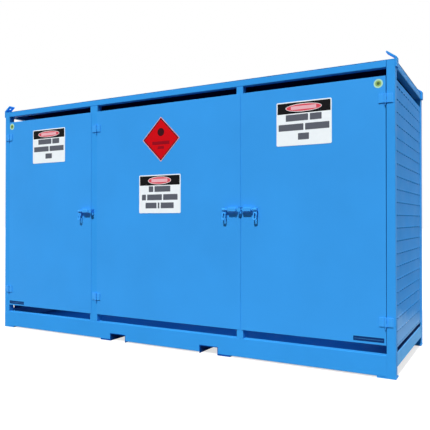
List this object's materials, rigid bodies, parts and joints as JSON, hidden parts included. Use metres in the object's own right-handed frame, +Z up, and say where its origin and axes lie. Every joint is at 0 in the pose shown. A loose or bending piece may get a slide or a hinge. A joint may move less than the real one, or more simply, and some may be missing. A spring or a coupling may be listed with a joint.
{
  "type": "gas cylinder storage cage",
  "caption": "Relocatable steel storage cage for gas cylinders, with outward opening sheet doors, slide bolts, vented side walls, fork pockets and lifting lugs.",
  "frame": {"origin": "on the ground, at the middle of the overall box", "axes": "+X along the cage to the right as seen from the doors, +Y from the doors to the rear wall, +Z up"},
  "size_m": [3.7306, 1.204, 2.159],
  "materials": {
    "door_paint": "semi-gloss powder coat",
    "wall_paint": "semi-gloss powder coat",
    "inner_paint": "semi-gloss powder coat",
    "frame_paint": "semi-gloss powder coat",
    "hardware_paint": "semi-gloss powder coat",
    "sign_white": "satin printed sheet",
    "sign_red": "satin printed sheet"
  },
  "bodies": {
    "frame": {"centre_keeper": "hardware_paint", "centre_post": "frame_paint", "floor_deck": "inner_paint", "front_left_lug": "frame_paint", "front_left_post": "frame_paint", "front_right_lug": "frame_paint", "front_right_post": "frame_paint", "front_sill": "frame_paint", "front_top_rail": "frame_paint", "hinge_post": "frame_paint", "left_fork_pocket": "inner_paint", "left_keeper": "hardware_paint", "left_post_lower_leaf": "hardware_paint", "left_post_upper_leaf": "hardware_paint", "left_side_rail": "frame_paint", "left_side_wall": "wall_paint", "left_top_rail": "frame_paint", "middle_post_lower_leaf": "hardware_paint", "middle_post_upper_leaf": "hardware_paint", "rear_left_lug": "frame_paint", "rear_left_post": "frame_paint", "rear_middle_post_left": "frame_paint", "rear_middle_post_right": "frame_paint", "rear_right_lug": "frame_paint", "rear_right_post": "frame_paint", "rear_sill": "frame_paint", "rear_top_rail": "frame_paint", "rear_wall": "wall_paint", "right_fork_pocket": "inner_paint", "right_post_lower_leaf": "hardware_paint", "right_post_upper_leaf": "hardware_paint", "right_side_rail": "frame_paint", "right_side_wall": "wall_paint", "right_top_rail": "frame_paint", "roof_sheet": "frame_paint"},
    "left_door": {"left_door_frame": "inner_paint", "left_door_lower_leaf": "hardware_paint", "left_door_sheet": "door_paint", "left_door_sign": "sign_white", "left_door_upper_leaf": "hardware_paint", "left_latch_guide": "hardware_paint"},
    "left_bolt": {"left_bolt": "hardware_paint"},
    "left_pull": {"left_pull": "hardware_paint"},
    "middle_door": {"middle_door_diamond": "sign_red", "middle_door_frame": "inner_paint", "middle_door_lower_leaf": "hardware_paint", "middle_door_sheet": "door_paint", "middle_door_sign": "sign_white", "middle_door_upper_leaf": "hardware_paint", "middle_latch_guide": "hardware_paint"},
    "middle_bolt": {"middle_bolt": "hardware_paint"},
    "middle_pull": {"middle_pull": "hardware_paint"},
    "right_door": {"right_door_frame": "inner_paint", "right_door_lower_leaf": "hardware_paint", "right_door_sheet": "door_paint", "right_door_sign": "sign_white", "right_door_upper_leaf": "hardware_paint", "right_latch_guide": "hardware_paint"},
    "right_bolt": {"right_bolt": "hardware_paint"},
    "right_pull": {"right_pull": "hardware_paint"}
  },
  "joints": [
    {"name": "left_door_swing", "type": "hinge", "parent": "frame", "child": "left_door", "pos_m": [-1.7925, -0.57, 1.12], "axis": [0, 0, -1], "range_deg": [0, 170]},
    {"name": "left_bolt_slide", "type": "slide", "parent": "left_door", "child": "left_bolt", "axis": [1, 0, 0], "range_m": [0, 0.018]},
    {"name": "left_pull_swing", "type": "hinge", "parent": "left_bolt", "child": "left_pull", "pos_m": [-0.8568, -0.5846, 1.12], "axis": [-1, 0, 0], "range_deg": [-8, 180]},
    {"name": "middle_door_swing", "type": "hinge", "parent": "frame", "child": "middle_door", "pos_m": [-0.683, -0.57, 1.12], "axis": [0, 0, -1], "range_deg": [0, 140]},
    {"name": "middle_bolt_slide", "type": "slide", "parent": "middle_door", "child": "middle_bolt", "axis": [1, 0, 0], "range_m": [0, 0.018]},
    {"name": "middle_pull_swing", "type": "hinge", "parent": "middle_bolt", "child": "middle_pull", "pos_m": [0.6002, -0.5846, 1.12], "axis": [-1, 0, 0], "range_deg": [-8, 180]},
    {"name": "right_door_swing", "type": "hinge", "parent": "frame", "child": "right_door", "pos_m": [1.7925, -0.57, 1.12], "axis": [0, 0, 1], "range_deg": [0, 170]},
    {"name": "right_bolt_slide", "type": "slide", "parent": "right_door", "child": "right_bolt", "axis": [-1, 0, 0], "range_m": [0, 0.018]},
    {"name": "right_pull_swing", "type": "hinge", "parent": "right_bolt", "child": "right_pull", "pos_m": [0.8598, -0.5846, 1.12], "axis": [-1, 0, 0], "range_deg": [-8, 180]}
  ]
}
